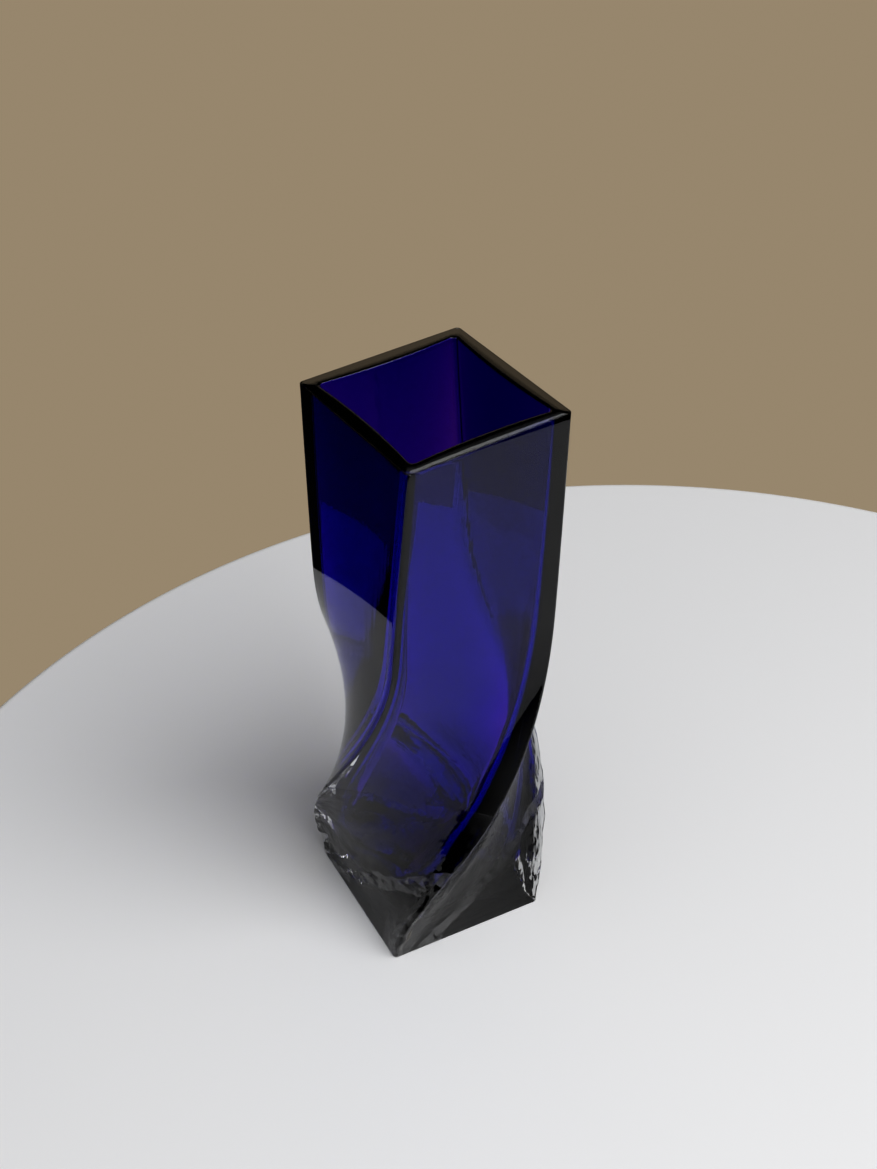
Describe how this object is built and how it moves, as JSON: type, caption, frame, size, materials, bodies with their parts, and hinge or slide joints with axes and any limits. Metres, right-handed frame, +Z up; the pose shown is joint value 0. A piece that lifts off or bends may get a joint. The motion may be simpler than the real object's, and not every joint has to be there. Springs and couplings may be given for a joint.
{
  "type": "twisted glass vase",
  "caption": "Tall square vessel of thick cased glass, twisted in its lower half: a cobalt cup fused inside a clear case that closes as a solid clear foot.",
  "frame": {"origin": "centre of the square base, on the surface that the vessel stands on", "axes": "+Z up along the vessel's own axis; the rim's sides lie along X and Y, and the broad face that the light falls on looks towards -Y"},
  "size_m": [0.097, 0.097, 0.248],
  "materials": {
    "clear_glass": "fire-polished, colourless, with faint draw lines",
    "cobalt_glass": "fire-polished deep cobalt blue, near black at its full depth; rim ground flat and polished"
  },
  "bodies": {
    "root": {"clear_case": "clear_glass", "cobalt_cup": "cobalt_glass"}
  },
  "joints": []
}
